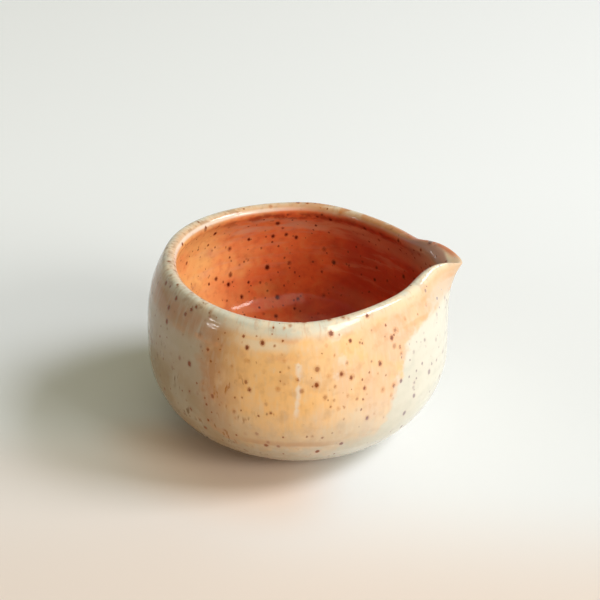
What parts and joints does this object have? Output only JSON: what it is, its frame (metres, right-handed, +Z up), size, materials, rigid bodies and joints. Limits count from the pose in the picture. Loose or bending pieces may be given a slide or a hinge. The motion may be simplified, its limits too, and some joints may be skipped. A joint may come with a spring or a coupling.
{
  "type": "tea pitcher",
  "caption": "Handleless stoneware tea pitcher: a round bowl with a pinched, pulled pouring spout, pale glaze outside and a red-orange liner glaze inside, on a trimmed foot ring.",
  "frame": {"origin": "on the table plane under the foot ring, midway between the back of the belly and the tip of the spout", "axes": "+Z up, out of the open bowl; +X from the back of the bowl towards the tip of the spout; +Y to the left of the pour"},
  "size_m": [0.098, 0.0946, 0.0589],
  "materials": {
    "bare_clay": "unglazed fired stoneware, matt",
    "outer_glaze": "glossy cream and peach glaze with iron specks",
    "liner_glaze": "glossy red-orange glaze with iron specks"
  },
  "bodies": {
    "root": {"clay_body": "bare_clay", "outside_glaze": "outer_glaze", "inside_glaze": "liner_glaze"}
  },
  "joints": []
}
